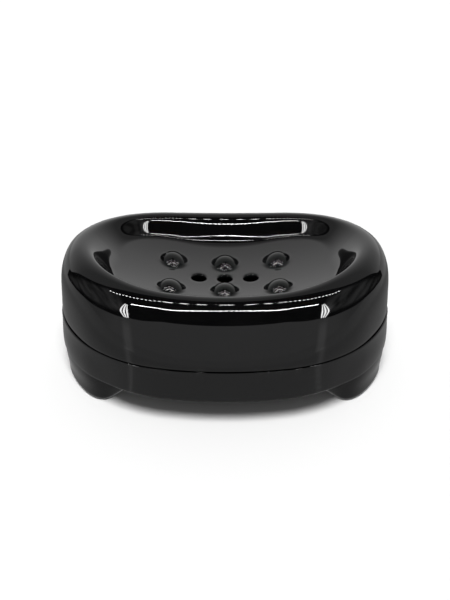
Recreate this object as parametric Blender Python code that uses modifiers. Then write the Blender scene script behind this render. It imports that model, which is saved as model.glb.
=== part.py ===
"""Two-piece plastic soap dish: a drain tray with a concave well resting on a drip base with four feet."""

import math

import bmesh
import bpy

# Outline seen from above: an end, a corner and a side arc in each quarter, and where one meets the next
DISH_LENGTH = 0.130
DISH_WIDTH = 0.0982
END_RADIUS = 0.0367
END_ARC = math.radians(16.4)
SIDE_ARC = math.radians(79.66)

# Heights above the ground
PARTING_HEIGHT = 0.026
BODY_UNDERSIDE = 0.0117

# Rim of the tray, front and back, then the two ends
SIDE_CREST_RISE = 0.0220
SIDE_CREST_INSET = 0.0150
END_CREST_RISE = 0.0277
END_CREST_INSET = 0.0102
SIDE_UPRIGHT_SHARE = 0.337
SIDE_ROUND_SHARE = 0.345
END_UPRIGHT_SHARE = 0.769
END_ROUND_SHARE = 0.436
RIM_BLEND_POWER = 1.91

# Well of the tray
WELL_FLOOR_RISE = 0.0104
WELL_FLOOR_RADIUS = 0.1305
SIDE_WALL_WIDTH = 0.0126
END_WALL_WIDTH = 0.0150
CORNER_WALL_NARROWING = 0.0060
WALL_BLEND_POWER = 3.0
CREST_EASE_SHARE = 0.5
WELL_CENTRE_SHARE = 0.04

# Nubs on the well floor
NUB_RADIUS = 0.0061
NUB_HEIGHT = 0.0034
NUB_ROOT = 0.0010
NUB_PITCH_LONG = 0.0205
NUB_PITCH_ACROSS = 0.0212

# Drain holes in a row along the middle
HOLE_RADIUS = 0.0030
HOLE_PITCH = 0.0102

# Walls and the lap joint between the two pieces
TRAY_WALL = 0.0020
BASE_WALL = 0.0020
BASE_FLOOR = 0.0022
BASE_STEP_IN = 0.00055
BASE_DRAFT_IN = 0.00045
BASE_EDGE_RADIUS = 0.0010
JOINT_GAP = 0.0003
LIP_HEIGHT = 0.0018
LIP_THICKNESS = 0.0010

# Feet, which follow the outline round each corner
FOOT_FIRST_ANGLE = math.radians(8.0)
FOOT_LAST_ANGLE = math.radians(49.0)
FOOT_OUTER_INSET = 0.0011
FOOT_DEPTH = 0.0190
FOOT_EDGE_RADIUS = 0.0020
FOOT_PLAN_POWER = 4.0
FOOT_WALL = 0.0020
FOOT_FLOOR = 0.0020

# How far a cutter runs past a face and a joined piece runs into its neighbour
OVERRUN = 0.0015

OUTLINE_POINTS = 96
SHOULDER_STEPS = 9
WALL_STEPS = 8
FLOOR_STEPS = 4
NUB_SIDES = 20
NUB_STEPS = 5
HOLE_SIDES = 32
EDGE_STEPS = 4
FOOT_POINTS = 40

HALF_LENGTH = DISH_LENGTH / 2
HALF_WIDTH = DISH_WIDTH / 2
LIP_OUTER_INSET = BASE_STEP_IN + BASE_WALL - LIP_THICKNESS
TRAY_BOTTOM = PARTING_HEIGHT + JOINT_GAP / 2
BASE_TOP = PARTING_HEIGHT - JOINT_GAP / 2
LIP_TOP = TRAY_BOTTOM + LIP_HEIGHT


def clear_scene():
    for item in list(bpy.data.objects):
        bpy.data.objects.remove(item, do_unlink=True)


def new_collection(name):
    made = bpy.data.collections.new(name)
    bpy.context.scene.collection.children.link(made)
    return made


def plastic(name, colour, roughness):
    material = bpy.data.materials.new(name)
    material.use_nodes = True
    shader = material.node_tree.nodes["Principled BSDF"]
    shader.inputs["Base Color"].default_value = (*colour, 1.0)
    shader.inputs["Roughness"].default_value = roughness
    shader.inputs["Metallic"].default_value = 0.0
    material.diffuse_color = (*colour, 1.0)
    return material


def object_from(name, vertices, faces, collection):
    mesh = bpy.data.meshes.new(name)
    mesh.from_pydata(vertices, [], faces)
    mesh.validate()
    made = bpy.data.objects.new(name, mesh)
    collection.objects.link(made)
    work = bmesh.new()
    work.from_mesh(mesh)
    bmesh.ops.recalc_face_normals(work, faces=work.faces[:])
    work.to_mesh(mesh)
    work.free()
    for polygon in mesh.polygons:
        polygon.use_smooth = True
    return made


def cutter(made):
    made.hide_render = True
    made.display_type = "WIRE"
    return made


def combine(target, other, operation):
    """Adds one EXACT Boolean of the other object to the target."""
    modifier = target.modifiers.new(operation.title() + " " + other.name, "BOOLEAN")
    modifier.operation = operation
    modifier.solver = "EXACT"
    modifier.object = other


def arc_layout():
    """Centre and radius of the end, corner and side arcs in the first quarter, from the length and width."""
    end_cos, end_sin = math.cos(END_ARC), math.sin(END_ARC)
    side_cos, side_sin = math.cos(SIDE_ARC), math.sin(SIDE_ARC)
    long_rest = HALF_LENGTH - END_RADIUS * (1 - end_cos)
    wide_rest = HALF_WIDTH - END_RADIUS * end_sin
    across = (end_cos - side_cos) * (1 - side_sin) - side_cos * (side_sin - end_sin)
    corner_radius = (long_rest * (1 - side_sin) - side_cos * wide_rest) / across
    side_radius = ((end_cos - side_cos) * wide_rest - (side_sin - end_sin) * long_rest) / across
    end = (HALF_LENGTH - END_RADIUS, 0.0)
    leg = corner_radius - END_RADIUS
    corner = (end[0] - leg * end_cos, end[1] - leg * end_sin)
    side = (0.0, HALF_WIDTH - side_radius)
    return (end, END_RADIUS), (corner, corner_radius), (side, side_radius)


ARCS = arc_layout()


def outline_point(angle, inset):
    """Point on the outline moved in by the inset, where the outline's normal has this angle."""
    folded = abs(math.remainder(angle, math.tau))
    sign_x = 1.0
    if folded > math.pi / 2:
        folded = math.pi - folded
        sign_x = -1.0
    sign_y = -1.0 if math.sin(angle) < 0 else 1.0
    if folded < END_ARC:
        centre, radius = ARCS[0]
    elif folded < SIDE_ARC:
        centre, radius = ARCS[1]
    else:
        centre, radius = ARCS[2]
    x = centre[0] + (radius - inset) * math.cos(folded)
    y = centre[1] + (radius - inset) * math.sin(folded)
    return sign_x * x, sign_y * y


def outline_ring(inset, height, count=OUTLINE_POINTS):
    ring = []
    for index in range(count):
        x, y = outline_point(math.tau * index / count, inset)
        ring.append((x, y, height))
    return ring


def solid_between(name, rings, collection):
    """Closed solid through rings of equal count, with a flat cap on the first and last ring."""
    count = len(rings[0])
    vertices = [point for ring in rings for point in ring]
    faces = [tuple(range(count)), tuple(range((len(rings) - 1) * count, len(rings) * count))]
    for level in range(len(rings) - 1):
        for index in range(count):
            after = (index + 1) % count
            low = level * count
            high = low + count
            faces.append((low + index, low + after, high + after, high + index))
    return object_from(name, vertices, faces, collection)


def hermite(share, start, start_slope, start_bend, finish, finish_slope, finish_bend):
    """Fifth-order curve through two ends with given height, slope and bend."""
    t = share
    return (
        start * (1 - 10 * t**3 + 15 * t**4 - 6 * t**5)
        + start_slope * (t - 6 * t**3 + 8 * t**4 - 3 * t**5)
        + start_bend * (t**2 - 3 * t**3 + 3 * t**4 - t**5) / 2
        + finish * (10 * t**3 - 15 * t**4 + 6 * t**5)
        + finish_slope * (-4 * t**3 + 7 * t**4 - 3 * t**5)
        + finish_bend * (t**3 - 2 * t**4 + t**5) / 2
    )


def between(side_value, end_value, weight):
    return side_value + (end_value - side_value) * weight


def tray_section(angle):
    """Points of the tray's outer skin from the skirt, over the rim and down the well, at one normal angle."""
    wall_x, wall_y = outline_point(angle, 0.0)
    weight = (abs(wall_x) / HALF_LENGTH) ** RIM_BLEND_POWER
    inset = between(SIDE_CREST_INSET, END_CREST_INSET, weight)
    rise = between(SIDE_CREST_RISE, END_CREST_RISE, weight)
    upright = between(SIDE_UPRIGHT_SHARE, END_UPRIGHT_SHARE, weight)
    roundness = between(SIDE_ROUND_SHARE, END_ROUND_SHARE, weight)
    points = []
    for step in range(SHOULDER_STEPS + 1):
        t = step / SHOULDER_STEPS
        first, second, last = 3 * t * (1 - t) ** 2, 3 * t**2 * (1 - t), t**3
        x, y = outline_point(angle, inset * ((1 - roundness) * second + last))
        points.append((x, y, TRAY_BOTTOM + rise * (upright * first + second + last)))
    crest_x, crest_y, crest_z = points[-1]
    reach = math.hypot(crest_x, crest_y)
    blend = (abs(wall_x) / HALF_LENGTH) ** WALL_BLEND_POWER
    wall = between(SIDE_WALL_WIDTH, END_WALL_WIDTH, blend)
    wall -= 4 * CORNER_WALL_NARROWING * blend * (1 - blend)
    span = wall / reach
    edge_share = 1 - span
    floor_z = TRAY_BOTTOM + WELL_FLOOR_RISE
    edge_z = floor_z + (edge_share * reach) ** 2 / (2 * WELL_FLOOR_RADIUS)
    edge_slope = edge_share * reach * wall / WELL_FLOOR_RADIUS
    edge_bend = wall**2 / WELL_FLOOR_RADIUS
    crest_bend = -2 * rise * (1 - upright) / (3 * (roundness * inset) ** 2)
    crest_bend *= wall**2 * (1 - CREST_EASE_SHARE * weight)
    for step in range(1, WALL_STEPS + 1):
        t = 1 - step / WALL_STEPS
        share = edge_share + span * t
        z = hermite(t, edge_z, edge_slope, edge_bend, crest_z, 0.0, crest_bend)
        points.append((crest_x * share, crest_y * share, z))
    for step in range(1, FLOOR_STEPS + 1):
        share = between(edge_share, WELL_CENTRE_SHARE, step / FLOOR_STEPS)
        z = floor_z + (share * reach) ** 2 / (2 * WELL_FLOOR_RADIUS)
        points.append((crest_x * share, crest_y * share, z))
    return points


def tray_skin(collection):
    """Open skin of the tray, which Solidify thickens inwards to one even wall."""
    sections = [tray_section(math.tau * index / OUTLINE_POINTS) for index in range(OUTLINE_POINTS)]
    count = len(sections[0])
    vertices = [point for section in sections for point in section]
    faces = []
    for index in range(OUTLINE_POINTS):
        here = index * count
        there = (index + 1) % OUTLINE_POINTS * count
        for step in range(count - 1):
            faces.append((here + step, there + step, there + step + 1, here + step + 1))
    faces.append(tuple(index * count + count - 1 for index in range(OUTLINE_POINTS)))
    made = object_from("soap_tray", vertices, faces, collection)
    shell = made.modifiers.new("Tray wall", "SOLIDIFY")
    shell.thickness = TRAY_WALL
    shell.offset = -1.0
    shell.use_even_offset = True
    return made


def nub(name, x, y, collection):
    """Round nub standing square to the well floor, sunk a little into it."""
    floor_z = TRAY_BOTTOM + WELL_FLOOR_RISE + (x**2 + y**2) / (2 * WELL_FLOOR_RADIUS)
    profile = [(NUB_RADIUS, -NUB_ROOT)]
    for step in range(NUB_STEPS):
        turn = math.pi / 2 * step / NUB_STEPS
        profile.append((NUB_RADIUS * math.cos(turn), NUB_HEIGHT * math.sin(turn)))
    rings = []
    for radius, height in profile:
        ring = []
        for index in range(NUB_SIDES):
            angle = math.tau * index / NUB_SIDES
            ring.append((radius * math.cos(angle), radius * math.sin(angle), height))
        rings.append(ring)
    made = solid_between(name, rings, collection)
    made.location = (x, y, floor_z)
    made.rotation_euler = (math.atan2(y, WELL_FLOOR_RADIUS), -math.atan2(x, WELL_FLOOR_RADIUS), 0.0)
    return cutter(made)


def drain_hole(name, x, collection):
    rings = []
    for height in (TRAY_BOTTOM, TRAY_BOTTOM + SIDE_CREST_RISE):
        ring = []
        for index in range(HOLE_SIDES):
            angle = math.tau * index / HOLE_SIDES
            ring.append((x + HOLE_RADIUS * math.cos(angle), HOLE_RADIUS * math.sin(angle), height))
        rings.append(ring)
    return cutter(solid_between(name, rings, collection))


def foot_ring(margin, height, side_x, side_y):
    """Flat section of a foot, rounded at its corners and bent to follow the outline."""
    half_depth = FOOT_DEPTH / 2
    middle_inset = FOOT_OUTER_INSET + half_depth
    middle_angle = (FOOT_FIRST_ANGLE + FOOT_LAST_ANGLE) / 2
    half_angle = (FOOT_LAST_ANGLE - FOOT_FIRST_ANGLE) / 2 - margin / (ARCS[1][1] - middle_inset)
    power = 2 / FOOT_PLAN_POWER
    ring = []
    for index in range(FOOT_POINTS):
        turn = math.tau * (index + 0.5) / FOOT_POINTS
        along = math.copysign(abs(math.cos(turn)) ** power, math.cos(turn))
        across = math.copysign(abs(math.sin(turn)) ** power, math.sin(turn))
        angle = middle_angle + half_angle * along
        x, y = outline_point(angle, middle_inset + (half_depth - margin) * across)
        ring.append((side_x * x, side_y * y, height))
    return ring


def foot(name, side_x, side_y, collection):
    rings = [foot_ring(FOOT_EDGE_RADIUS, 0.0, side_x, side_y)]
    for step in range(1, EDGE_STEPS + 1):
        turn = math.pi / 2 * step / EDGE_STEPS
        margin = FOOT_EDGE_RADIUS * (1 - math.sin(turn))
        rings.append(foot_ring(margin, FOOT_EDGE_RADIUS * (1 - math.cos(turn)), side_x, side_y))
    rings.append(foot_ring(0.0, BODY_UNDERSIDE + OVERRUN, side_x, side_y))
    return cutter(solid_between(name, rings, collection))


def foot_hollow(name, side_x, side_y, collection):
    low = foot_ring(FOOT_WALL, FOOT_FLOOR, side_x, side_y)
    high = foot_ring(FOOT_WALL, BODY_UNDERSIDE + BASE_FLOOR + OVERRUN, side_x, side_y)
    return cutter(solid_between(name, [low, high], collection))


def base_body(collection):
    """Outer shape of the base down to its underside, with a rounded lower edge."""
    low_inset = BASE_STEP_IN + BASE_DRAFT_IN
    rings = []
    for step in range(EDGE_STEPS + 1):
        turn = math.pi / 2 * step / EDGE_STEPS
        inset = low_inset + BASE_EDGE_RADIUS * (1 - math.sin(turn))
        rings.append(outline_ring(inset, BODY_UNDERSIDE + BASE_EDGE_RADIUS * (1 - math.cos(turn))))
    rings.append(outline_ring(BASE_STEP_IN, BASE_TOP))
    return solid_between("drip_base", rings, collection)


def prism(name, inset, low, high, collection):
    return cutter(solid_between(name, [outline_ring(inset, low), outline_ring(inset, high)], collection))


clear_scene()
parts = new_collection("soap_dish")
helpers = new_collection("helpers")
helpers.hide_render = True

tray = tray_skin(parts)
for column in (-1, 0, 1):
    for row in (-1, 1):
        label = f"nub_{column + 2}_{(row + 3) // 2}"
        combine(tray, nub(label, column * NUB_PITCH_LONG, row * NUB_PITCH_ACROSS / 2, helpers), "UNION")
for column in (-1, 0, 1):
    combine(tray, drain_hole(f"hole_{column + 2}", column * HOLE_PITCH, helpers), "DIFFERENCE")
rebate_inset = LIP_OUTER_INSET - JOINT_GAP
rebate_top = LIP_TOP + JOINT_GAP
rebate = prism("rebate", rebate_inset, TRAY_BOTTOM - OVERRUN, rebate_top, helpers)
combine(tray, rebate, "DIFFERENCE")
tray.data.materials.append(plastic("black_plastic_tray", (0.010, 0.010, 0.011), 0.06))

base = base_body(parts)
lip = prism("lip", LIP_OUTER_INSET, BASE_TOP - OVERRUN, LIP_TOP, helpers)
combine(base, lip, "UNION")
for side_x in (-1, 1):
    for side_y in (-1, 1):
        place = ("left" if side_x < 0 else "right") + "_" + ("front" if side_y < 0 else "back")
        combine(base, foot("foot_" + place, side_x, side_y, helpers), "UNION")
cavity_inset = LIP_OUTER_INSET + LIP_THICKNESS
cavity = prism("cavity", cavity_inset, BODY_UNDERSIDE + BASE_FLOOR, LIP_TOP + OVERRUN, helpers)
combine(base, cavity, "DIFFERENCE")
for side_x in (-1, 1):
    for side_y in (-1, 1):
        place = ("left" if side_x < 0 else "right") + "_" + ("front" if side_y < 0 else "back")
        combine(base, foot_hollow("hollow_" + place, side_x, side_y, helpers), "DIFFERENCE")
base.data.materials.append(plastic("black_plastic_base", (0.011, 0.011, 0.012), 0.08))

bpy.context.view_layer.update()
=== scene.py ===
import math

import bpy
import numpy as np
from mathutils.geometry import delaunay_2d_cdt
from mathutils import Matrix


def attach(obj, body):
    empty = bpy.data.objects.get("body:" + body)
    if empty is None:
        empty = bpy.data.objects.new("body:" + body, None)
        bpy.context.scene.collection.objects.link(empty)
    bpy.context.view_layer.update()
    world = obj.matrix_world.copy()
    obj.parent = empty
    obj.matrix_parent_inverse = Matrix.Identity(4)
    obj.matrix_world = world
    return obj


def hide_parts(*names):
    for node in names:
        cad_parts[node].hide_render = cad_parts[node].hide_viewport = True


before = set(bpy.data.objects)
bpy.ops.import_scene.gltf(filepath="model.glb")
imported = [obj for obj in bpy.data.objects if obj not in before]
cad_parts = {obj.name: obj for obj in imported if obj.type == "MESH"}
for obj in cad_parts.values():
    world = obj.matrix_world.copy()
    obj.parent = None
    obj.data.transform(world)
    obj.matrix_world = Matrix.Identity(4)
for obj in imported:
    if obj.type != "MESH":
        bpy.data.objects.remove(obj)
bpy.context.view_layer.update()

# Gloss black soap dish: a tray that rests on a drip base. Lengths are in metres

# Outline seen from above: three arcs in each quarter
DISH_LENGTH = 0.130
DISH_WIDTH = 0.0982
END_RADIUS = 0.0367
END_ARC = math.radians(16.4)
SIDE_ARC = math.radians(79.66)

# Heights above the ground
PARTING_HEIGHT = 0.026
BODY_UNDERSIDE = 0.0117
JOINT_GAP = 0.0003

# Rim of the tray, front and back, then the two ends
SIDE_CREST_RISE = 0.021974
SIDE_CREST_INSET = 0.015042
END_CREST_RISE = 0.027727
END_CREST_INSET = 0.010156
SIDE_UPRIGHT_SHARE = 0.3367
SIDE_ROUND_SHARE = 0.3455
END_UPRIGHT_SHARE = 0.7688
END_ROUND_SHARE = 0.4363
RIM_BLEND_POWER = 1.914

# Well of the tray
WELL_FLOOR_RISE = 0.010441
WELL_FLOOR_RADIUS = 0.1305
SIDE_WALL_WIDTH = 0.0126
END_WALL_WIDTH = 0.0150
CORNER_WALL_NARROWING = 0.0060
WALL_BLEND_POWER = 3.0
CREST_EASE_SHARE = 0.5

# Nubs, from the top out: slope reached in degrees and radius of the bend up to there. Drain holes
NUB_TURNS = ((46, 0.0054), (54, 0.0100))
NUB_FILLET = 0.0017
NUB_PITCH_LONG = 0.020508
NUB_PITCH_ACROSS = 0.021287
HOLE_RADIUS = 0.0027
HOLE_EDGE_RADIUS = 0.0008
HOLE_LOWER_CHAMFER = HOLE_EDGE_RADIUS * 0.3
HOLE_PITCH = 0.0102

# Walls and the lap joint
TRAY_WALL = 0.0020
BASE_WALL = 0.0020
BASE_FLOOR = 0.0022
BASE_STEP_IN = 0.00055
BASE_DRAFT_IN = 0.00045
BASE_EDGE_RADIUS = 0.0010
TRAY_SEAM_RADIUS = 0.0004
BASE_SEAM_RADIUS = 0.0003
BASE_SEAM_DROP = 0.0006
LIP_HEIGHT = 0.0018
LIP_THICKNESS = 0.0010

# Feet
FOOT_MIDDLE = math.radians(28.5)
FOOT_HALF_ANGLE = math.radians(20.5)
FOOT_OUTER_INSET = 0.00102
FOOT_HALF_DEPTH = 0.0095
FOOT_MIDDLE_INSET = FOOT_OUTER_INSET + FOOT_HALF_DEPTH
FOOT_POWER = 4.0
FOOT_EDGE_RADIUS = 0.0022
FOOT_OVERLAP = 0.0014
FOOT_OPENING_MARGIN = 0.0009
FOOT_SLOPE_IN = 0.0026
FOOT_SLOPE_OUT = 0.0010
FOOT_WALL = 0.0020
FOOT_FLOOR = 0.0020

# Ends of the dish: the tray's wall draws in under the rim, and the base is fuller below it
WAIST_DEPTH = 0.0008
WAIST_TOP = 0.0470
WAIST_EASE = 0.0170
WAIST_ANGLES = (26, 56)
BASE_END_OUT = 0.0002
BASE_END_BELLY = 0.0007
BELLY_TOP = 0.0258
BELLY_EASE = 0.0131
BELLY_ANGLES = (38, 58)
BELLY_FADE_INSET = 0.012
BELLY_FADE = 0.010
FOOT_SWELL = 0.00082
FOOT_SWELL_START = 0.0022
FOOT_SWELL_EASE = 0.0105

# Fineness of the tray's surfaces: rings around it, rows up and down, and the grid of the well floor
RING_COUNT = 480
SEAM_STEP = 15
SHOULDER_START = 0.03
SHOULDER_ROWS = 48
FIRST_INNER_ROW = 6
WELL_ROWS = 48
WELL_ROW_POWER = 1.15
PATCH_SHARE = 0.63
GRID_PITCH = 0.0011
GRID_REACH = 40
GRID_CLEARANCE = GRID_PITCH * 0.6
GRID_HOLE_CLEARANCE = GRID_PITCH * 0.5
NUB_SIDES = 64
NUB_TURN_ROWS = 24
NUB_FILLET_ROWS = 8
NUB_UNDER_SHARES = (0.66, 0.33)
HOLE_SIDES = 48
HOLE_EDGE_STEP = 18

# Fineness of the base's surfaces: inside the flat inset its floor is plain
FLAT_INSET = 0.024
FLAT_SHARES = (0.2, 0.4, 0.6, 0.8)
INSET_STEP = 0.0005
FINE_ANGLE = 58
BASE_EDGE_STEP = 10
BASE_WALL_ROWS = 16
LIP_ROWS = 5
FOOT_SIDES = 160
FOOT_EDGE_STEP = 9
FOOT_WALL_ROWS = 16
SOLE_SHARES = (0.35, 0.7)

SHARP_ANGLE = math.radians(40)

HALF_LENGTH = DISH_LENGTH / 2
HALF_WIDTH = DISH_WIDTH / 2
TRAY_BOTTOM = PARTING_HEIGHT + JOINT_GAP / 2
BASE_TOP = PARTING_HEIGHT - JOINT_GAP / 2
LIP_OUTER_INSET = BASE_STEP_IN + BASE_WALL - LIP_THICKNESS
LIP_INNER_INSET = LIP_OUTER_INSET + LIP_THICKNESS
LIP_TOP = TRAY_BOTTOM + LIP_HEIGHT
REBATE_INSET = LIP_OUTER_INSET - JOINT_GAP
REBATE_END_INSET = TRAY_WALL + 0.0001
REBATE_TOP = LIP_TOP + JOINT_GAP


def arc_radii():
    """Corner and side radii that bring the quarter outline to its half length and half width."""
    a = math.cos(END_ARC) - math.cos(SIDE_ARC)
    b = math.cos(SIDE_ARC)
    c = math.sin(SIDE_ARC) - math.sin(END_ARC)
    d = 1 - math.sin(SIDE_ARC)
    long_rest = HALF_LENGTH - END_RADIUS * (1 - math.cos(END_ARC))
    wide_rest = HALF_WIDTH - END_RADIUS * math.sin(END_ARC)
    det = a * d - b * c
    return (long_rest * d - b * wide_rest) / det, (a * wide_rest - c * long_rest) / det


CORNER_RADIUS, SIDE_RADIUS = arc_radii()
END_CENTRE = HALF_LENGTH - END_RADIUS
CORNER_CENTRE = (
    END_CENTRE - (CORNER_RADIUS - END_RADIUS) * math.cos(END_ARC),
    -(CORNER_RADIUS - END_RADIUS) * math.sin(END_ARC),
)
SIDE_CENTRE = HALF_WIDTH - SIDE_RADIUS


def fold(angle):
    """Normal angle brought into the first quarter, and whether it was on the left half."""
    folded = np.abs(np.mod(angle + math.pi, math.tau) - math.pi)
    on_left = folded > math.pi / 2
    return np.where(on_left, math.pi - folded, folded), on_left


def outline(angle, inset):
    """Points of the outline moved in by the inset, where the outline's normal has this angle."""
    angle, inset = np.broadcast_arrays(np.asarray(angle, float), np.asarray(inset, float))
    folded, on_left = fold(angle)
    on_end = folded < END_ARC
    on_side = folded >= SIDE_ARC
    centre_x = np.where(on_end, END_CENTRE, np.where(on_side, 0.0, CORNER_CENTRE[0]))
    centre_y = np.where(on_end, 0.0, np.where(on_side, SIDE_CENTRE, CORNER_CENTRE[1]))
    radius = np.where(on_end, END_RADIUS, np.where(on_side, SIDE_RADIUS, CORNER_RADIUS))
    x = centre_x + (radius - inset) * np.cos(folded)
    y = centre_y + (radius - inset) * np.sin(folded)
    return np.where(on_left, -x, x), np.where(np.sin(angle) < 0, -y, y)


def between(side_value, end_value, weight):
    return side_value + (end_value - side_value) * weight


def rim_form(angle):
    """The rim's sizes at a normal angle, as a dictionary."""
    wall_x, _ = outline(angle, 0.0)
    weight = (np.abs(wall_x) / HALF_LENGTH) ** RIM_BLEND_POWER
    form = {
        "inset": between(SIDE_CREST_INSET, END_CREST_INSET, weight),
        "rise": between(SIDE_CREST_RISE, END_CREST_RISE, weight),
        "upright": between(SIDE_UPRIGHT_SHARE, END_UPRIGHT_SHARE, weight),
        "round": between(SIDE_ROUND_SHARE, END_ROUND_SHARE, weight),
        "ease": 1 - CREST_EASE_SHARE * weight,
    }
    blend = (np.abs(wall_x) / HALF_LENGTH) ** WALL_BLEND_POWER
    form["wall"] = between(SIDE_WALL_WIDTH, END_WALL_WIDTH, blend)
    form["wall"] = form["wall"] - 4 * CORNER_WALL_NARROWING * blend * (1 - blend)
    form["x"], form["y"] = outline(angle, form["inset"])
    return form


def smooth_step(t):
    """0 up to t = 0 and 1 from t = 1 on, with no sudden slope or bend at either."""
    t = np.clip(t, 0, 1)
    return t * t * t * (10 - 15 * t + 6 * t * t)


def end_share(angle, start, stop):
    """1 at the ends of the dish up to the first angle, 0 on the long sides from the second on."""
    return 1 - smooth_step((np.degrees(fold(angle)[0]) - start) / (stop - start))


def rounding(radius, step):
    """Quarter round in steps of some degrees: what is left to its side, and its rise from the flat."""
    turns = np.radians(np.arange(0, 91, step))
    return [(radius * (1 - math.sin(turn)), radius * (1 - math.cos(turn))) for turn in turns]


def waist(angle, z):
    """How far the tray's end wall draws in from the rim down to the parting line."""
    return WAIST_DEPTH * smooth_step((WAIST_TOP - z) / WAIST_EASE) * end_share(angle, *WAIST_ANGLES)


def shoulder(angle, t):
    """Tray's outer skin from the parting line (t = 0) to the crest (t = 1)."""
    form = rim_form(angle)
    first, second, last = 3 * t * (1 - t) ** 2, 3 * t**2 * (1 - t), t**3
    z = TRAY_BOTTOM + form["rise"] * (form["upright"] * first + second + last)
    x, y = outline(angle, form["inset"] * ((1 - form["round"]) * second + last) + waist(angle, z))
    return x, y, z


def inside_shoulder(angle, t):
    """Points one wall thickness inside the shoulder, square to it."""
    step = 1e-4
    ax, ay, az = (np.subtract(p, q) for p, q in zip(shoulder(angle + step, t), shoulder(angle - step, t)))
    low, high = max(t - step, 0.0), min(t + step, 1.0)
    bx, by, bz = (np.subtract(p, q) for p, q in zip(shoulder(angle, high), shoulder(angle, low)))
    nx, ny, nz = ay * bz - az * by, az * bx - ax * bz, ax * by - ay * bx
    long = np.sqrt(nx**2 + ny**2 + nz**2)
    x, y, z = shoulder(angle, t)
    return x - nx / long * TRAY_WALL, y - ny / long * TRAY_WALL, z - nz / long * TRAY_WALL


def well(angle, share):
    """Tray's well from the crest (share = 1) towards the middle (share = 0).

    A shallow bowl, and around it a wall that keeps the height, slope and bend of bowl and crest.
    """
    form = rim_form(angle)
    reach = np.hypot(form["x"], form["y"])
    floor_z = TRAY_BOTTOM + WELL_FLOOR_RISE
    span = form["wall"] / reach
    floor_share = 1 - span
    edge = floor_z + (floor_share * reach) ** 2 / (2 * WELL_FLOOR_RADIUS)
    edge_slope = floor_share * reach**2 * span / WELL_FLOOR_RADIUS
    edge_bend = (reach * span) ** 2 / WELL_FLOOR_RADIUS
    crest = TRAY_BOTTOM + form["rise"]
    crest_bend = -2 * form["rise"] * (1 - form["upright"]) / (3 * (form["round"] * form["inset"]) ** 2)
    crest_bend = crest_bend * (reach * span) ** 2 * form["ease"]
    t = np.clip((share - floor_share) / span, 0, 1)
    z = (
        edge * (1 - 10 * t**3 + 15 * t**4 - 6 * t**5)
        + edge_slope * (t - 6 * t**3 + 8 * t**4 - 3 * t**5)
        + edge_bend * (t**2 - 3 * t**3 + 3 * t**4 - t**5) / 2
        + crest * (10 * t**3 - 15 * t**4 + 6 * t**5)
        + crest_bend * (t**3 - 2 * t**4 + t**5) / 2
    )
    z = np.where(share < floor_share, floor_z + (share * reach) ** 2 / (2 * WELL_FLOOR_RADIUS), z)
    return form["x"] * share, form["y"] * share, z


# Normal angle that belongs to each direction from the middle of the dish, eight steps to the degree
TABLE_ANGLE = np.linspace(0.0, math.tau, 8 * 360 + 1)
TABLE_FORM = rim_form(TABLE_ANGLE)
TABLE_TURN = np.unwrap(np.arctan2(TABLE_FORM["y"], TABLE_FORM["x"]))


def rim_towards(x, y):
    """The rim's normal angle and form in the direction of points of the plan."""
    angle = np.interp(np.mod(np.arctan2(y, x), math.tau), TABLE_TURN, TABLE_ANGLE)
    return angle, rim_form(angle)


def well_height(x, y):
    """Height of the well's plain surface over points of the plan."""
    angle, form = rim_towards(x, y)
    share = np.hypot(x, y) / np.hypot(form["x"], form["y"])
    return well(angle, share)[2]


def well_normal(x, y):
    step = 1e-5
    slope_x = (well_height(x + step, y) - well_height(x - step, y)) / (2 * step)
    slope_y = (well_height(x, y + step) - well_height(x, y - step)) / (2 * step)
    long = np.sqrt(1 + slope_x**2 + slope_y**2)
    return -slope_x / long, -slope_y / long, 1 / long


def under_well(x, y, z):
    """Points one wall thickness under points of the well, square to it."""
    nx, ny, nz = well_normal(x, y)
    return x - nx * TRAY_WALL, y - ny * TRAY_WALL, z - nz * TRAY_WALL


def nub_profile():
    """Distance from the axis and height over the well floor: fillet, flank, round top."""
    radius, drop, start = 0.0, 0.0, 0.0
    points = [(0.0, 0.0)]
    for degrees, bend in NUB_TURNS:
        stop = math.radians(degrees)
        for turn in np.linspace(start, stop, NUB_TURN_ROWS + 1)[1:]:
            across = bend * (math.sin(turn) - math.sin(start))
            points.append((radius + across, drop + bend * (math.cos(start) - math.cos(turn))))
        radius, drop = points[-1]
        start = stop
    for turn in np.linspace(start, 0, NUB_FILLET_ROWS + 1)[1:]:
        across = NUB_FILLET * (math.sin(start) - math.sin(turn))
        points.append((radius + across, drop + NUB_FILLET * (math.cos(turn) - math.cos(start))))
    height = points[-1][1]
    return [(across, height - fall) for across, fall in points[::-1]]


class Skin:
    """Collects points and faces of one closed mesh."""

    def __init__(self):
        self.points = []
        self.faces = []

    def add(self, x, y, z):
        """Adds points and returns their indices."""
        first = len(self.points)
        x, y, z = np.broadcast_arrays(x, y, z)
        self.points.extend(zip(x.ravel().tolist(), y.ravel().tolist(), z.ravel().tolist()))
        return list(range(first, first + x.size))

    def band(self, low, high, open_at=None):
        """Joins two closed rings of equal count, except between neighbours that are both open."""
        count = len(low)
        for k in range(count):
            after = (k + 1) % count
            if open_at is None or not (open_at[k] and open_at[after]):
                self.faces.append((low[k], low[after], high[after], high[k]))

    def bands(self, rings):
        for low, high in zip(rings, rings[1:]):
            self.band(low, high)

    def fan(self, ring, centre):
        """Closes a ring with triangles to one point."""
        count = len(ring)
        for k in range(count):
            self.faces.append((ring[k], ring[(k + 1) % count], centre))

    def to_object(self, name):
        mesh = bpy.data.meshes.new(name)
        mesh.from_pydata(self.points, [], self.faces)
        mesh.validate()
        mesh.update()
        made = bpy.data.objects.new(name, mesh)
        bpy.context.scene.collection.objects.link(made)
        for polygon in mesh.polygons:
            polygon.use_smooth = True
        mesh.set_sharp_from_angle(angle=SHARP_ANGLE)
        return made


def circle(centre, radius, count):
    turn = math.tau * np.arange(count) / count
    return centre[0] + radius * np.cos(turn), centre[1] + radius * np.sin(turn)


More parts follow.
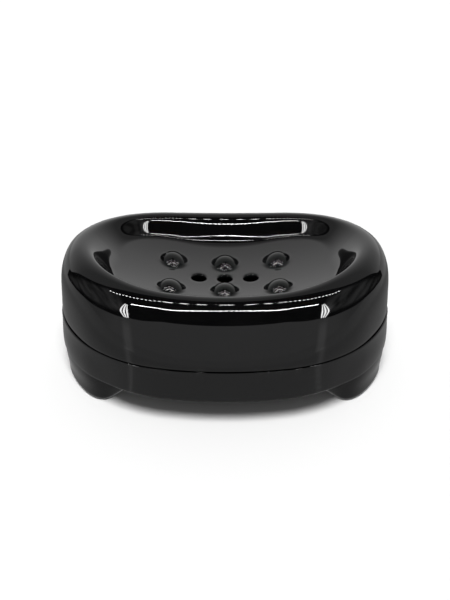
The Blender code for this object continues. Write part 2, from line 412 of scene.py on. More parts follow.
NUBS = [(i * NUB_PITCH_LONG, j * NUB_PITCH_ACROSS / 2) for i in (-1, 0, 1) for j in (-1, 1)]
HOLES = [(i * HOLE_PITCH, 0.0) for i in (-1, 0, 1)]
NUB_PROFILE = nub_profile()
NUB_PATCH = float(NUB_PROFILE[0][0])
HOLE_PATCH = HOLE_RADIUS + HOLE_EDGE_RADIUS
ANGLES = math.tau * np.arange(RING_COUNT) / RING_COUNT

# Where the nubs' and the holes' rings begin among the points of the well floor
NUB_FIRST = RING_COUNT
HOLE_FIRST = NUB_FIRST + len(NUBS) * NUB_SIDES


def ring_of(number, first, sides):
    """Place of one nub's or one hole's ring among the points of the well floor."""
    return slice(first + number * sides, first + (number + 1) * sides)


def within(x, y, centres, radius):
    return any(math.hypot(x - centre[0], y - centre[1]) < radius for centre in centres)


def floor_patch():
    """Plan of the well floor between the outer ring, the nubs and the holes: points and triangles."""
    x, y, _ = well(ANGLES, PATCH_SHARE)
    loops = [(x, y)]
    loops += [circle(centre, NUB_PATCH, NUB_SIDES) for centre in NUBS]
    loops += [circle(centre, HOLE_PATCH, HOLE_SIDES) for centre in HOLES]
    edges = []
    first = 0
    for loop in loops:
        count = len(loop[0])
        edges += [(first + k, first + (k + 1) % count) for k in range(count)]
        first += count

    # grid of even triangles, kept where it is clear of the loops
    rows = np.arange(-GRID_REACH, GRID_REACH + 1)
    grid_x, grid_y = np.meshgrid(rows * GRID_PITCH, rows * GRID_PITCH * math.sqrt(0.75))
    grid_x = grid_x + (np.arange(len(rows))[:, None] % 2) * GRID_PITCH / 2
    grid_x, grid_y = grid_x.ravel(), grid_y.ravel()
    _, form = rim_towards(grid_x, grid_y)
    keep = np.hypot(grid_x, grid_y) < PATCH_SHARE * np.hypot(form["x"], form["y"]) - GRID_CLEARANCE
    for centre in NUBS:
        keep &= np.hypot(grid_x - centre[0], grid_y - centre[1]) > NUB_PATCH + GRID_CLEARANCE
    for centre in HOLES:
        keep &= np.hypot(grid_x - centre[0], grid_y - centre[1]) > HOLE_PATCH + GRID_HOLE_CLEARANCE
    plan_x = np.concatenate([loop[0] for loop in loops] + [grid_x[keep]])
    plan_y = np.concatenate([loop[1] for loop in loops] + [grid_y[keep]])

    # joined in millimetres, without the triangles that lie in a nub or a hole
    scaled = [(float(a) * 1000, float(b) * 1000) for a, b in zip(plan_x, plan_y)]
    _, _, faces, origin, _, _ = delaunay_2d_cdt(scaled, edges, [], 1, 1e-7)
    index = [source[0] for source in origin]
    triangles = []
    for face in faces:
        corners = [index[k] for k in face]
        mid_x = sum(plan_x[k] for k in corners) / 3
        mid_y = sum(plan_y[k] for k in corners) / 3
        on_nubs = all(NUB_FIRST <= k < HOLE_FIRST for k in corners)
        in_nub = on_nubs and within(mid_x, mid_y, NUBS, NUB_PATCH - 2e-5)
        if not in_nub and not within(mid_x, mid_y, HOLES, HOLE_PATCH):
            triangles.append(corners)
    return plan_x, plan_y, triangles


def tray_mesh():
    skin = Skin()
    # bottom edge, shoulder, and the well's wall
    draw_in = waist(ANGLES, TRAY_BOTTOM)
    outer = [
        skin.add(*outline(ANGLES, draw_in + inset), TRAY_BOTTOM + rise)
        for inset, rise in rounding(TRAY_SEAM_RADIUS, SEAM_STEP)
    ]
    steps = np.linspace(SHOULDER_START, 1, SHOULDER_ROWS)
    shares = 1 - (1 - PATCH_SHARE) * np.linspace(0, 1, WELL_ROWS + 1)[1:] ** WELL_ROW_POWER
    outer += [skin.add(*shoulder(ANGLES, t)) for t in steps]
    outer += [skin.add(*well(ANGLES, share)) for share in shares]
    skin.bands(outer)

    # well floor, and the nubs on it
    plan_x, plan_y, triangles = floor_patch()
    plan_z = well_height(plan_x, plan_y)
    top = outer[-1] + skin.add(plan_x[RING_COUNT:], plan_y[RING_COUNT:], plan_z[RING_COUNT:])
    skin.faces += [(top[a], top[b], top[c]) for a, b, c in triangles]
    for number, centre in enumerate(NUBS):
        rings = [top[ring_of(number, NUB_FIRST, NUB_SIDES)]]
        for radius, height in NUB_PROFILE[1:-1]:
            x, y = circle(centre, radius, NUB_SIDES)
            rings.append(skin.add(x, y, well_height(x, y) + height))
        skin.bands(rings)
        peak = skin.add(*centre, well_height(*centre) + NUB_PROFILE[-1][1])[0]
        skin.fan(rings[-1], peak)

    # inside: rebate of the lap joint, then one wall thickness behind the shoulder and the well
    rows = [
        skin.add(*outline(ANGLES, REBATE_INSET), TRAY_BOTTOM),
        skin.add(*outline(ANGLES, REBATE_INSET), REBATE_TOP),
        skin.add(*outline(ANGLES, REBATE_END_INSET), REBATE_TOP),
    ]
    rows += [skin.add(*inside_shoulder(ANGLES, t)) for t in steps[FIRST_INNER_ROW:]]
    rows += [skin.add(*under_well(*well(ANGLES, share))) for share in shares]
    skin.band(rows[0], outer[0])
    skin.bands(rows[::-1])
    under_plan = under_well(plan_x, plan_y, plan_z)
    under = rows[-1] + skin.add(*(part[RING_COUNT:] for part in under_plan))
    skin.faces += [(under[c], under[b], under[a]) for a, b, c in triangles]
    for number, centre in enumerate(NUBS):
        middle = skin.add(*under_well(*centre, well_height(*centre)))[0]
        rings = [under[ring_of(number, NUB_FIRST, NUB_SIDES)]]
        for share in NUB_UNDER_SHARES:
            x, y = circle(centre, NUB_PATCH * share, NUB_SIDES)
            rings.append(skin.add(*under_well(x, y, well_height(x, y))))
        skin.bands([ring[::-1] for ring in rings])
        skin.fan(rings[-1][::-1], middle)

    # drain holes: rounded upper edge, wall, and a small chamfer below
    for number, centre in enumerate(HOLES):
        place = ring_of(number, HOLE_FIRST, HOLE_SIDES)
        rings = [top[place]]
        for out, drop in rounding(HOLE_EDGE_RADIUS, HOLE_EDGE_STEP)[1:]:
            x, y = circle(centre, HOLE_RADIUS + out, HOLE_SIDES)
            rings.append(skin.add(x, y, well_height(x, y) - drop))
        x, y = circle(centre, HOLE_RADIUS, HOLE_SIDES)
        bottom = well_height(x, y) - TRAY_WALL
        rings.append(skin.add(x, y, bottom + HOLE_EDGE_RADIUS))
        x, y = circle(centre, HOLE_RADIUS + HOLE_LOWER_CHAMFER, HOLE_SIDES)
        rings.append(skin.add(x, y, bottom + HOLE_LOWER_CHAMFER))
        rings.append(under[place])
        skin.bands(rings)
    return skin.to_object("soap_tray_skin")


def foot_distance(angle, inset, shrink):
    """Distance outside the foot's outline, less than zero inside, near the outline."""
    turn, _ = fold(angle)
    half_along = FOOT_HALF_ANGLE * (CORNER_RADIUS - FOOT_MIDDLE_INSET) - shrink
    half_depth = FOOT_HALF_DEPTH - shrink
    u = (turn - FOOT_MIDDLE) * (CORNER_RADIUS - FOOT_MIDDLE_INSET) / half_along
    v = (inset - FOOT_MIDDLE_INSET) / half_depth
    p = FOOT_POWER
    level = (np.abs(u) ** p + np.abs(v) ** p) ** (1 / p) + 1e-9
    gu = np.abs(u) ** (p - 1) / level ** (p - 1) / half_along
    gv = np.abs(v) ** (p - 1) / level ** (p - 1) / half_depth
    return (level - 1) / np.maximum(np.hypot(gu, gv), 1 / (4 * half_along))


def base_belly(angle, z):
    """How much fuller the base's wall is at the ends than along the sides."""
    belly = BASE_END_OUT + BASE_END_BELLY * smooth_step((BELLY_TOP - z) / BELLY_EASE)
    return belly * end_share(angle, *BELLY_ANGLES)


def wall_inset(angle, z):
    """Inset of the base's outer wall at a height."""
    draft = BASE_DRAFT_IN * (BASE_TOP - z) / (BASE_TOP - BODY_UNDERSIDE - BASE_EDGE_RADIUS)
    return BASE_STEP_IN + draft - base_belly(angle, z)


def cavity_floor(angle, inset):
    """Height of the base's inner floor, which drops into each hollow foot."""
    distance = foot_distance(angle, inset, FOOT_WALL)
    weight = smooth_step((distance + FOOT_SLOPE_IN) / (FOOT_SLOPE_IN + FOOT_SLOPE_OUT))
    body = BODY_UNDERSIDE + BASE_FLOOR
    return FOOT_FLOOR + (body - FOOT_FLOOR) * weight


def foot_ring(margin, side_x, side_y, swell=0.0):
    """Plan of a foot, moved in by the margin: rounded at its corners and bent along the outline.

    The swell moves its outer side out towards the body's wall.
    """
    half_angle = FOOT_HALF_ANGLE - margin / (CORNER_RADIUS - FOOT_MIDDLE_INSET)
    turn = math.tau * (np.arange(FOOT_SIDES) + 0.5) / FOOT_SIDES
    # even steps around a circle, pushed out to a square with rounded corners
    size = (np.abs(np.cos(turn)) ** FOOT_POWER + np.abs(np.sin(turn)) ** FOOT_POWER) ** (1 / FOOT_POWER)
    along, across = np.cos(turn) / size, np.sin(turn) / size
    spread = FOOT_MIDDLE + half_angle * along
    outward = swell * ((1 - across) / 2) ** 2 * end_share(spread, *BELLY_ANGLES)
    x, y = outline(spread, FOOT_MIDDLE_INSET + (FOOT_HALF_DEPTH - margin) * across - outward)
    return side_x * x, side_y * y


def add_foot(skin, side_x, side_y):
    """Adds a foot: sole, rounded edge and side, which runs up into the body's own wall and floor."""
    x, y = foot_ring(FOOT_EDGE_RADIUS, side_x, side_y)
    mid_x, mid_y = float(x.mean()), float(y.mean())
    sole = skin.add(mid_x, mid_y, 0.0)[0]
    rings = [skin.add(mid_x + (x - mid_x) * share, mid_y + (y - mid_y) * share, 0.0) for share in SOLE_SHARES]
    for margin, rise in rounding(FOOT_EDGE_RADIUS, FOOT_EDGE_STEP):
        rings.append(skin.add(*foot_ring(margin, side_x, side_y), rise))
    for z in np.linspace(FOOT_EDGE_RADIUS, BODY_UNDERSIDE + FOOT_OVERLAP, FOOT_WALL_ROWS + 1)[1:]:
        swell = FOOT_SWELL * smooth_step((z - FOOT_SWELL_START) / FOOT_SWELL_EASE)
        rings.append(skin.add(*foot_ring(0.0, side_x, side_y, float(swell)), z))
    # two of the feet are mirror images, so their rings are turned round to face outward as well
    if side_x * side_y > 0:
        rings = [ring[::-1] for ring in rings]
    skin.fan(rings[0], sole)
    skin.bands([ring[::-1] for ring in rings])


def base_angles():
    """Normal angles of the base's rings: steps of half a degree at the ends, of one along the sides."""
    quarter = np.radians(np.concatenate([np.arange(0, FINE_ANGLE, 0.5), np.arange(FINE_ANGLE, 90, 1.0)]))
    turned = [quarter, math.pi - quarter, math.pi + quarter, math.tau - quarter]
    turned.append([math.pi / 2, 3 * math.pi / 2])
    return np.unique(np.round(np.concatenate(turned) % math.tau, 9))


def base_mesh():
    skin = Skin()
    angles = base_angles()
    floor_z = BODY_UNDERSIDE + BASE_FLOOR
    low_inset = BASE_STEP_IN + BASE_DRAFT_IN
    low_z = BODY_UNDERSIDE + BASE_EDGE_RADIUS
    high_z = BASE_TOP - BASE_SEAM_DROP - BASE_SEAM_RADIUS
    belly = base_belly(angles, low_z)

    # underside, with an opening over each foot
    middle = skin.add(0.0, 0.0, BODY_UNDERSIDE)[0]
    flat_x, flat_y = outline(angles, FLAT_INSET)
    rings = [skin.add(flat_x * share, flat_y * share, BODY_UNDERSIDE) for share in FLAT_SHARES]
    plain = len(rings)
    insets = np.arange(FLAT_INSET, low_inset + BASE_EDGE_RADIUS, -INSET_STEP)
    for inset in insets:
        out = belly * smooth_step((BELLY_FADE_INSET - inset) / BELLY_FADE)
        rings.append(skin.add(*outline(angles, inset - out), BODY_UNDERSIDE))
    for low, high, inset in zip(rings[plain:], rings[plain + 1 :], insets):
        open_here = foot_distance(angles, inset, 0.0) < -FOOT_OPENING_MARGIN
        open_here &= foot_distance(angles, inset - INSET_STEP, 0.0) < -FOOT_OPENING_MARGIN
        skin.band(low, high, open_here)
    skin.bands(rings[: plain + 1])
    skin.fan(rings[0][::-1], middle)

    # rounded lower edge, wall, rounded upper edge, lip, and the inner floor
    rings = rings[-1:]
    for inset, rise in rounding(BASE_EDGE_RADIUS, BASE_EDGE_STEP):
        rings.append(skin.add(*outline(angles, low_inset - belly + inset), BODY_UNDERSIDE + rise))
    for z in np.linspace(low_z, high_z, BASE_WALL_ROWS + 1)[1:]:
        rings.append(skin.add(*outline(angles, wall_inset(angles, z)), z))
    for a in np.radians(np.arange(SEAM_STEP, 91, SEAM_STEP)):
        inset = wall_inset(angles, high_z) + BASE_SEAM_RADIUS * (1 - math.cos(a))
        rings.append(skin.add(*outline(angles, inset), high_z + BASE_SEAM_RADIUS * math.sin(a)))
    rings.append(skin.add(*outline(angles, LIP_OUTER_INSET), BASE_TOP - BASE_SEAM_DROP))
    rings.append(skin.add(*outline(angles, LIP_OUTER_INSET), LIP_TOP))
    for z in np.linspace(LIP_TOP, floor_z, LIP_ROWS + 1)[:-1]:
        rings.append(skin.add(*outline(angles, LIP_INNER_INSET), z))
    for inset in np.arange(LIP_INNER_INSET, FLAT_INSET, INSET_STEP):
        rings.append(skin.add(*outline(angles, inset), cavity_floor(angles, inset)))
    for share in (1.0, *FLAT_SHARES[::-1]):
        rings.append(skin.add(flat_x * share, flat_y * share, floor_z))
    skin.bands(rings)
    skin.fan(rings[-1], skin.add(0.0, 0.0, floor_z)[0])

    for side_x in (-1, 1):
        for side_y in (-1, 1):
            add_foot(skin, side_x, side_y)
    return skin.to_object("drip_base_skin")


# Materials: sockets of the colour mix, then the plastic's colours, gloss, cloudiness, grain and unevenness
MIX_SHARE, MIX_FIRST, MIX_SECOND, MIX_RESULT = 0, 6, 7, 2
PLASTIC_DARK = (0.0006, 0.0006, 0.0007, 1.0)
PLASTIC_LIGHT = (0.0014, 0.0014, 0.0015, 1.0)
PLASTIC_IOR = 1.5
SMOOTHEST, ROUGHEST = 0.018, 0.042
CLOUD_SCALE, CLOUD_DETAIL = 35.0, 3.0
GRAIN_SCALE, GRAIN_DETAIL = 420.0, 5.0
UNEVEN_SCALE, UNEVEN_DETAIL = 60.0, 1.0
UNEVEN_STRENGTH, UNEVEN_DEPTH = 0.02, 0.0005


def new_material(name):
    material = bpy.data.materials.new(name)
    material.use_nodes = True
    return material, material.node_tree


def link(tree, source, target):
    tree.links.new(source, target)


def noise(tree, place, scale, detail):
    """Cloudy value over a place."""
    node = tree.nodes.new("ShaderNodeTexNoise")
    node.inputs["Scale"].default_value = scale
    node.inputs["Detail"].default_value = detail
    link(tree, place, node.inputs["Vector"])
    return node.outputs["Fac"]


def remap(tree, value, source, target):
    """Value brought from one range to another."""
    node = tree.nodes.new("ShaderNodeMapRange")
    node.inputs["From Min"].default_value, node.inputs["From Max"].default_value = source
    node.inputs["To Min"].default_value, node.inputs["To Max"].default_value = target
    link(tree, value, node.inputs["Value"])
    return node.outputs["Result"]


def plastic(name):
    """Gloss black plastic: faint cloudiness in its colour, fine grain in its gloss, slight unevenness."""
    material, tree = new_material(name)
    shader = tree.nodes["Principled BSDF"]
    place = tree.nodes.new("ShaderNodeTexCoord").outputs["Object"]
    tint = tree.nodes.new("ShaderNodeMix")
    tint.data_type = "RGBA"
    tint.inputs[MIX_FIRST].default_value = PLASTIC_DARK
    tint.inputs[MIX_SECOND].default_value = PLASTIC_LIGHT
    link(tree, noise(tree, place, CLOUD_SCALE, CLOUD_DETAIL), tint.inputs[MIX_SHARE])
    link(tree, tint.outputs[MIX_RESULT], shader.inputs["Base Color"])
    grain = noise(tree, place, GRAIN_SCALE, GRAIN_DETAIL)
    link(tree, remap(tree, grain, (0.0, 1.0), (SMOOTHEST, ROUGHEST)), shader.inputs["Roughness"])
    bump = tree.nodes.new("ShaderNodeBump")
    bump.inputs["Strength"].default_value = UNEVEN_STRENGTH
    bump.inputs["Distance"].default_value = UNEVEN_DEPTH
    link(tree, noise(tree, place, UNEVEN_SCALE, UNEVEN_DETAIL), bump.inputs["Height"])
    link(tree, bump.outputs["Normal"], shader.inputs["Normal"])
    shader.inputs["IOR"].default_value = PLASTIC_IOR
    shader.inputs["Metallic"].default_value = 0.0
    return material


tray = tray_mesh()
tray.data.materials.append(plastic("gloss_black_tray"))
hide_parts("soap_tray")
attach(tray, "tray")

base = base_mesh()
base.data.materials.append(plastic("gloss_black_base"))
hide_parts("drip_base")
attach(base, "base")


# Studio: a white tent, dimmer at its sides, with a dark opening overhead that holds two rows of small lamps
TENT_MIDDLE = np.array((0.0, -0.030, 0.046))

# Edges of the opening and the lamp rows as places in millimetres, from the middle of the tent out to the left
BACK_EDGE = [
    (0, 2, 476), (-45, -6, 477), (-136, -54, 466), (-236, -83, 427), (-312, -86, 379), (-382, -52, 316),
    (-429, 5, 250), (-453, 77, 174), (-447, 164, 59), (-350, 165, 26), (-222, 99, 5),
]
FRONT_EDGE = [
    (0, -367, 323), (-48, -369, 318), (-100, -370, 305), (-221, -359, 257), (-307, -322, 216),
    (-352, -294, 186), (-381, -266, 166), (-433, -195, 125), (-471, -101, 73), (-481, -8, 34),
    (-386, 73, 5), (-251, 86, 5), (-222, 99, 5),
]
FAR_LAMPS = [(0, -119, 469), (-73, -155, 458), (-182, -179, 424), (-297, -159, 368), (-330, -134, 349)]
NEAR_LAMPS = [(0, -238, 427), (-77, -273, 402), (-118, -271, 396), (-184, -268, 374), (-250, -257, 345)]
STRIP_OUTER = [(-290, -250, 321), (-340, -271, 239), (-339, -291, 214), (-331, -306, 203)]
STRIP_INNER = [(-278, -259, 325), (-295, -293, 272), (-300, -309, 245), (-306, -321, 219)]
PATH_STEPS = 24

# Opening: black, with dull grey at its sides that fades at its edges and tips, and a brighter spot in each
OPENING_COLUMNS, OPENING_ROWS = 81, 25
OPENING_LOWEST = 0.005
OPENING_BLACK, OPENING_GREY, SPOT_GREY = 0.015, 0.2, 0.45
GREY_START, GREY_EASE = 0.62, 0.08
EDGE_START, EDGE_EASE = 0.035, 0.09
TIP_FADE, TIP_START, TIP_EASE = 0.5, -0.1, 0.5
SPOT_DIRECTION = (0.72, -0.48, 0.50)
SPOT_SPREAD = 0.006
STREAK_STRETCH = (13.0, 2.5, 10.0)
STREAK_SCALE, STREAK_DETAIL = 2.0, 4.0
STREAK_VALUES, STREAK_TONES = (0.35, 0.65), (0.35, 1.6)

# Lamps and strips: how near they hang, as a share of the way out to the opening
LAMP_NEARNESS = 0.985
STRIP_NEARNESS = 0.97
STRIP_STEPS = 20
STRIP_PARTS = ((0.0, 0.2), (0.38, 0.62), (0.8, 1.0))
STRIP_STRENGTH = 22.0

# Soft post at each front corner: place and direction across, then height or width with its tone there
POST_X, POST_Y = 0.135, -0.138
POST_RUN_X, POST_RUN_Y = 0.693, 0.717
POST_HEIGHTS = ((0.001, 0.8), (0.02, 1.0), (0.07, 1.0), (0.085, 0.5), (0.1, 0.0))
POST_WIDTHS = ((-0.014, 0.0), (-0.005, 1.0), (0.005, 1.0), (0.014, 0.0))
POST_GLEAM = 0.3

# Paper floor, and the glowing sheet that stands in for it in the gloss as a painted reflection of the floor:
# its tone by the angle from the viewer's side round to the back, with painted shadow beside and behind the
# dish
FLOOR_REACH = 3
PAPER_TONE, PAPER_ROUGHNESS = 0.5, 0.9
FLOOR_TURNS = (0, 60, 90, 120, 140, 155, 180)
PAINTED_FLOOR_TONES = (0.42, 0.40, 0.34, 0.20, 0.13, 0.10, 0.10)
FAR_FLOOR_TONE, FAR_FLOOR_START, FAR_FLOOR_EASE = 0.48, 1.2, 1.6
PAINTED_FLOOR_DROP = 0.0004

# Painted shadow between the feet, and a painted gleam on the floor that runs out from each front corner
PAINTED_FEET_SHADOW = 0.72
FEET_SHADE_HALF_WIDTH, FEET_SHADE_SIDE_EASE = 0.040, 0.014
FEET_SHADE_OUT, FEET_SHADE_OUT_EASE = -0.03, 0.13
GLEAM_X, GLEAM_Y = 0.034, -0.038
GLEAM_RUN_X, GLEAM_RUN_Y = 0.743, 0.669
GLEAM_TONE, GLEAM_DEGREES = 0.24, 3.2
GLEAM_FADE_START, GLEAM_FADE_EASE = 0.15, 0.1

# Key light, and the tent's tones from the viewer's side to the far side
KEY_DEGREES = 25
KEY_ENERGY = 5.6
KEY_TILT = 26
TENT_TONES = [(0.0, 0.52), (0.22, 0.54), (0.36, 0.38), (0.62, 0.36), (0.78, 0.66), (0.90, 0.92), (1.0, 1.0)]


def new_light(name):
    """Material that only gives light, with no surface linked yet."""
    material, tree = new_material(name)
    tree.nodes.clear()
    return material, tree, tree.nodes.new("ShaderNodeEmission")


def to_surface(tree, source):
    link(tree, source, tree.nodes.new("ShaderNodeOutputMaterial").inputs["Surface"])


def glow(name, strength):
    """Even white light."""
    material, tree, light = new_light(name)
    light.inputs["Color"].default_value = (1.0, 1.0, 1.0, 1.0)
    light.inputs["Strength"].default_value = strength
    to_surface(tree, light.outputs["Emission"])
    return material


def shaded_glow(name, additive=False, streaks=False):
    """Light whose strength follows the mesh's shade, plain or added over what lies behind."""
    material, tree, light = new_light(name)
    value = tree.nodes.new("ShaderNodeAttribute")
    value.attribute_name = "shade"
    strength = value.outputs["Fac"]
    if streaks:
        place = tree.nodes.new("ShaderNodeTexCoord")
        stretch = tree.nodes.new("ShaderNodeMapping")
        stretch.inputs["Scale"].default_value = STREAK_STRETCH
        link(tree, place.outputs["Object"], stretch.inputs["Vector"])
        streak = noise(tree, stretch.outputs["Vector"], STREAK_SCALE, STREAK_DETAIL)
        times = tree.nodes.new("ShaderNodeMath")
        times.operation = "MULTIPLY"
        link(tree, strength, times.inputs[0])
        link(tree, remap(tree, streak, STREAK_VALUES, STREAK_TONES), times.inputs[1])
        strength = times.outputs["Value"]
    link(tree, strength, light.inputs["Strength"])
    surface = light.outputs["Emission"]
    if additive:
        clear = tree.nodes.new("ShaderNodeBsdfTransparent")
        both = tree.nodes.new("ShaderNodeAddShader")
        link(tree, clear.outputs["BSDF"], both.inputs[0])
        link(tree, surface, both.inputs[1])
        surface = both.outputs["Shader"]
    to_surface(tree, surface)
    return material


def panel(name, points, faces, material, shade=None):
    """Part of the tent that only the dish's gloss shows."""
    mesh = bpy.data.meshes.new(name)
    mesh.from_pydata([tuple(map(float, point)) for point in points], [], faces)
    mesh.materials.append(material)
    if shade is not None:
        layer = mesh.attributes.new("shade", "FLOAT", "POINT")
        layer.data.foreach_set("value", [float(value) for value in shade])
    made = bpy.data.objects.new(name, mesh)
    bpy.context.scene.collection.objects.link(made)
    made.visible_camera = False
    made.visible_diffuse = False
    made.visible_shadow = False
    return made


def grid_faces(first, rows, columns):
    """Faces of a grid of points that is numbered row by row."""
    corners = [first + row * columns + column for row in range(rows - 1) for column in range(columns - 1)]
    return [(k, k + 1, k + columns + 1, k + columns) for k in corners]


def unit(v):
    v = np.asarray(v, float)
    return v / np.linalg.norm(v, axis=-1, keepdims=True)


def smooth_path(points, count):
    """Smooth curve through points (Catmull-Rom), sampled evenly along its chords."""
    points = np.asarray(points, float)
    padded = np.vstack([2 * points[0] - points[1], points, 2 * points[-1] - points[-2]])
    fine = []
    for k in range(len(points) - 1):
        a, b, c, d = padded[k : k + 4]
        stretch = np.linspace(0, 1, PATH_STEPS + 1)
        for t in stretch if k == len(points) - 2 else stretch[:-1]:
            fine.append(0.5 * (
                2 * b + (c - a) * t
                + (2 * a - 5 * b + 4 * c - d) * t**2
                + (3 * b - a - 3 * c + d) * t**3
            ))
    fine = np.array(fine)
    run = np.concatenate([[0], np.cumsum(np.linalg.norm(np.diff(fine, axis=0), axis=1))])
    at = np.linspace(0, run[-1], count)
    return np.stack([np.interp(at, run, fine[:, k]) for k in range(3)], 1)


def from_tent(path, count):
    """Smooth curve in metres, as seen from the middle of the tent."""
    return smooth_path(path, count) / 1000 - TENT_MIDDLE


def mirrored(points):
    """Curve from the middle out to the left, completed with its mirror image on the right."""
    points = np.asarray(points, float)
    return np.vstack([points[::-1], points[1:] * (-1, 1, 1)])


def opening():
    """Dark opening: a skin between its back and front edge, curved around the middle of the tent."""
    back = from_tent(mirrored(BACK_EDGE), OPENING_COLUMNS)
    front = from_tent(mirrored(FRONT_EDGE), OPENING_COLUMNS)
    points, shade = [], []
    for k in range(OPENING_COLUMNS):
        a, b = unit(back[k]), unit(front[k])
        far = np.linalg.norm(back[k]), np.linalg.norm(front[k])
        wide = math.acos(min(1.0, float(a @ b)))
        for v in np.linspace(0, 1, OPENING_ROWS):
            if wide > 1e-4:
                turn = (a * math.sin((1 - v) * wide) + b * math.sin(v * wide)) / math.sin(wide)
            else:
                turn = a
            place = turn * (far[0] * (1 - v) + far[1] * v) + TENT_MIDDLE
            place[2] = max(place[2], OPENING_LOWEST)
            points.append(place)
            from_edge = min(v, 1 - v) * wide
            side = smooth_step((abs(turn[0]) - GREY_START) / GREY_EASE)
            rim = smooth_step((from_edge - EDGE_START) / EDGE_EASE)
            tip = 1 - TIP_FADE * smooth_step((turn[1] - TIP_START) / TIP_EASE)
            out, *rest = SPOT_DIRECTION
            off_spot = turn - unit((-out if turn[0] < 0 else out, *rest))
            spot = math.exp(-float(np.sum(off_spot**2)) / SPOT_SPREAD)
            shade.append(OPENING_BLACK + side * rim * (OPENING_GREY * tip + SPOT_GREY * spot))
    # turned over, so that they face down to the dish
    faces = [(a, d, c, b) for a, b, c, d in grid_faces(0, OPENING_COLUMNS, OPENING_ROWS)]
    return panel("tent_opening", points, faces, shaded_glow("dark_opening", streaks=True), shade)


def lamp_row(name, path, count, half_length, half_width, strength):
    """Row of small lamps just inside the opening."""
    centres = from_tent(mirrored(path), count) * LAMP_NEARNESS + TENT_MIDDLE
    points, faces = [], []
    for k, centre in enumerate(centres):
        inward = unit(TENT_MIDDLE - centre)
        run = unit(centres[min(k + 1, count - 1)] - centres[max(k - 1, 0)])
        side = unit(np.cross(inward, run))
        first = len(points)
        for i, j in ((-1, -1), (1, -1), (1, 1), (-1, 1)):
            points.append(centre + run * half_length * i + side * half_width * j)
        faces.append((first, first + 1, first + 2, first + 3))
    return panel(name, points, faces, glow(name + "_light", strength))


def strips():
    """Three bright upright lines at each end of the near lamps."""
    outer = from_tent(STRIP_OUTER, STRIP_STEPS) * STRIP_NEARNESS + TENT_MIDDLE
    inner = from_tent(STRIP_INNER, STRIP_STEPS) * STRIP_NEARNESS + TENT_MIDDLE
    points, faces = [], []
    for side in (1, -1):
        for low, high in STRIP_PARTS:
            faces += grid_faces(len(points), STRIP_STEPS, 2)
            for a, b in zip(outer, inner):
                points.append((a + (b - a) * low) * (side, 1, 1))
                points.append((a + (b - a) * high) * (side, 1, 1))
    return panel("corner_strips", points, faces, glow("strip_light", STRIP_STRENGTH))


def soft_posts():
    """Faint upright gleam that stands low at each front corner."""
    points, faces, shade = [], [], []
    for side in (-1, 1):
        faces += grid_faces(len(points), len(POST_HEIGHTS), len(POST_WIDTHS))
        for z, strong in POST_HEIGHTS:
            for across, part in POST_WIDTHS:
                x, y = POST_X + across * POST_RUN_X, POST_Y + across * POST_RUN_Y
                points.append((side * x, y, z))
                shade.append(POST_GLEAM * strong * part)
    return panel("soft_posts", points, faces, shaded_glow("soft_gleam", additive=True), shade)


def paper_floor():
    """Pale floor that the dish stands on, left out of its gloss."""
    paper, tree = new_material("white_paper")
    sheet = tree.nodes["Principled BSDF"]
    sheet.inputs["Base Color"].default_value = (PAPER_TONE, PAPER_TONE, PAPER_TONE, 1.0)
    sheet.inputs["Roughness"].default_value = PAPER_ROUGHNESS
    sheet.inputs["Specular IOR Level"].default_value = 0.0
    corners = [(x * FLOOR_REACH, y * FLOOR_REACH, 0) for x, y in ((-1, -1), (1, -1), (1, 1), (-1, 1))]
    floor = panel("floor", corners, [(0, 1, 2, 3)], paper)
    floor.visible_camera = True
    floor.visible_diffuse = True
    floor.visible_shadow = True
    floor.visible_glossy = False


def painted_floor_reflection():
    """Glowing sheet that only the dish's gloss shows, a painted reflection of the floor: painted shadow makes
    it duller beside and behind the dish and between its feet, and a painted gleam runs out from each front
    corner.
    """
    fine = np.linspace(-0.2, 0.2, 161)
    wide = np.array((0.25, 0.4, 0.8, FLOOR_REACH))
    line = np.concatenate([-wide[::-1], fine, wide])
    x, y = (grid.ravel() for grid in np.meshgrid(line, line))
    turn = np.degrees(np.abs(np.arctan2(x, -y)))
    # painted shadow: the floor's tone falls beside and behind the dish
    near = np.interp(turn, FLOOR_TURNS, PAINTED_FLOOR_TONES)
    away = np.hypot(x / HALF_LENGTH, y / HALF_WIDTH) - 1
    far = smooth_step((away - FAR_FLOOR_START) / FAR_FLOOR_EASE)
    # painted shadow under the dish between its feet
    painted_shadow_between_feet = smooth_step((FEET_SHADE_HALF_WIDTH - np.abs(x)) / FEET_SHADE_SIDE_EASE)
    painted_shadow_between_feet = painted_shadow_between_feet * (1 - smooth_step((away - FEET_SHADE_OUT) / FEET_SHADE_OUT_EASE))
    shade = (near * (1 - far) + FAR_FLOOR_TONE * far) * (1 - PAINTED_FEET_SHADOW * painted_shadow_between_feet)
    # painted gleam on the floor, running out from each front corner
    for side in (-1, 1):
        along = (side * x - GLEAM_X) * GLEAM_RUN_X - (y - GLEAM_Y) * GLEAM_RUN_Y
        across = (side * x - GLEAM_X) * GLEAM_RUN_Y + (y - GLEAM_Y) * GLEAM_RUN_X
        angle = np.degrees(np.arctan2(across, np.maximum(along, 1e-6)))
        gleam = GLEAM_TONE * np.exp(-((angle / GLEAM_DEGREES) ** 2))
        gleam = gleam * (1 - smooth_step((along - GLEAM_FADE_START) / GLEAM_FADE_EASE))
        shade = shade + np.where(along > 0, gleam, 0)
    points = list(zip(x, y, np.full(x.shape, -PAINTED_FLOOR_DROP)))
    faces = grid_faces(0, len(line), len(line))
    return panel("painted_floor_reflection", points, faces, shaded_glow("painted_floor_and_shadow"), shade)


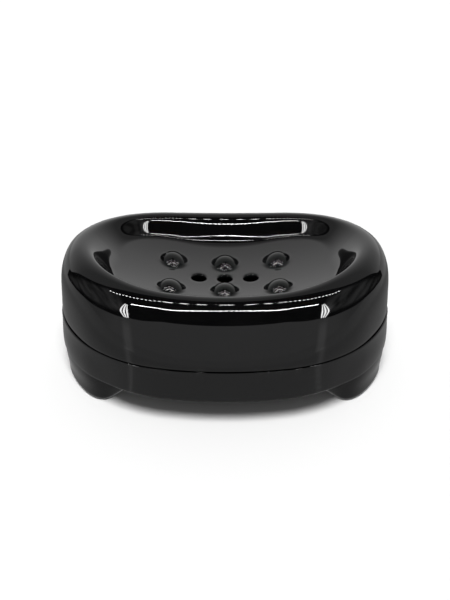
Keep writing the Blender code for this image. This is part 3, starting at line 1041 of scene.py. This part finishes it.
def tent_world():
    """Soft light of the tent, dimmer at its sides than behind the dish."""
    world = bpy.data.worlds.new("tent")
    bpy.context.scene.world = world
    world.use_nodes = True
    tree = world.node_tree
    place = tree.nodes.new("ShaderNodeTexCoord")
    split = tree.nodes.new("ShaderNodeSeparateXYZ")
    link(tree, place.outputs["Generated"], split.inputs["Vector"])
    tent = tree.nodes.new("ShaderNodeValToRGB")
    link(tree, remap(tree, split.outputs["Y"], (-1.0, 1.0), (0.0, 1.0)), tent.inputs["Fac"])
    ramp = tent.color_ramp
    while len(ramp.elements) < len(TENT_TONES):
        ramp.elements.new(0.5)
    for element, (where, tone) in zip(ramp.elements, TENT_TONES):
        element.position = where
        element.color = (tone, tone, tone, 1.0)
    link(tree, tent.outputs["Color"], tree.nodes["Background"].inputs["Color"])


opening()
lamp_row("far_lamps", FAR_LAMPS, count=35, half_length=0.0050, half_width=0.0020, strength=90.0)
lamp_row("near_lamps", NEAR_LAMPS, count=101, half_length=0.0019, half_width=0.0019, strength=150.0)
strips()
soft_posts()
paper_floor()
painted_floor_reflection()

key_data = bpy.data.lights.new("key", "SUN")
key_data.angle = math.radians(KEY_DEGREES)
key_data.energy = KEY_ENERGY
key = bpy.data.objects.new("key", key_data)
bpy.context.scene.collection.objects.link(key)
key.rotation_euler = (math.radians(KEY_TILT), 0.0, 0.0)
key.visible_glossy = False

tent_world()

# Camera at the photo's viewing angle
CAMERA_PLACE = (0.001468, -0.3329, 0.2267)
CAMERA_DROP = 0.5410316
CAMERA_TURN = 0.0042463
SENSOR_WIDTH = 36.0
FOCAL_LENGTH = 58.515
NEAREST_SEEN = 0.01
lens = bpy.data.cameras.new("camera")
camera = bpy.data.objects.new("camera", lens)
bpy.context.scene.collection.objects.link(camera)
camera.location = CAMERA_PLACE
camera.rotation_euler = (math.pi / 2 - CAMERA_DROP, 0.0, CAMERA_TURN)
lens.sensor_width = SENSOR_WIDTH
lens.lens = FOCAL_LENGTH
lens.clip_start = NEAREST_SEEN
bpy.context.scene.camera = camera
bpy.context.scene.view_settings.view_transform = "Standard"
